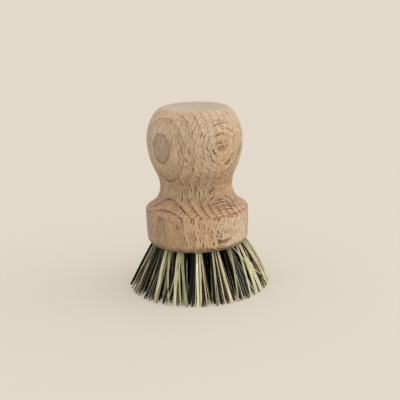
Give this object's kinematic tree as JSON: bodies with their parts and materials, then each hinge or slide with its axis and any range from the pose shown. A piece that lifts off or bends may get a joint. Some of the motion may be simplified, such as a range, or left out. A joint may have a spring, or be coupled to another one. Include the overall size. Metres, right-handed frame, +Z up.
{
  "type": "palm brush",
  "caption": "Palm brush with a turned beech knob handle on a round collar and stapled tufts of stiff plant fibre that splay outwards and are cut level.",
  "frame": {"origin": "centre of the level plane of the cut tips, on which the brush stands", "axes": "+Z up along the turned axis from the tips to the flat top of the knob; -Y towards the viewer of the picture, +X to that viewer's right"},
  "size_m": [0.071, 0.0699, 0.092],
  "materials": {
    "beech": "turned and sanded, raw",
    "plant_fibre": "dry plant fibre, pale and dark mixed",
    "staple_wire": "drawn wire"
  },
  "bodies": {
    "root": {"handle": "beech", "tuft_centre": "plant_fibre", "tuft_inner_1": "plant_fibre", "tuft_inner_2": "plant_fibre", "tuft_inner_3": "plant_fibre", "tuft_inner_4": "plant_fibre", "tuft_inner_5": "plant_fibre", "tuft_inner_6": "plant_fibre", "tuft_middle_1": "plant_fibre", "tuft_middle_2": "plant_fibre", "tuft_middle_3": "plant_fibre", "tuft_middle_4": "plant_fibre", "tuft_middle_5": "plant_fibre", "tuft_middle_6": "plant_fibre", "tuft_middle_7": "plant_fibre", "tuft_middle_8": "plant_fibre", "tuft_middle_9": "plant_fibre", "tuft_middle_10": "plant_fibre", "tuft_middle_11": "plant_fibre", "tuft_outer_1": "plant_fibre", "tuft_outer_2": "plant_fibre", "tuft_outer_3": "plant_fibre", "tuft_outer_4": "plant_fibre", "tuft_outer_5": "plant_fibre", "tuft_outer_6": "plant_fibre", "tuft_outer_7": "plant_fibre", "tuft_outer_8": "plant_fibre", "tuft_outer_9": "plant_fibre", "tuft_outer_10": "plant_fibre", "tuft_outer_11": "plant_fibre", "tuft_outer_12": "plant_fibre", "tuft_outer_13": "plant_fibre", "tuft_outer_14": "plant_fibre", "tuft_outer_15": "plant_fibre", "tuft_outer_16": "plant_fibre", "staple_centre": "staple_wire", "staples_inner": "staple_wire", "staples_middle": "staple_wire", "staples_outer": "staple_wire"}
  },
  "joints": []
}
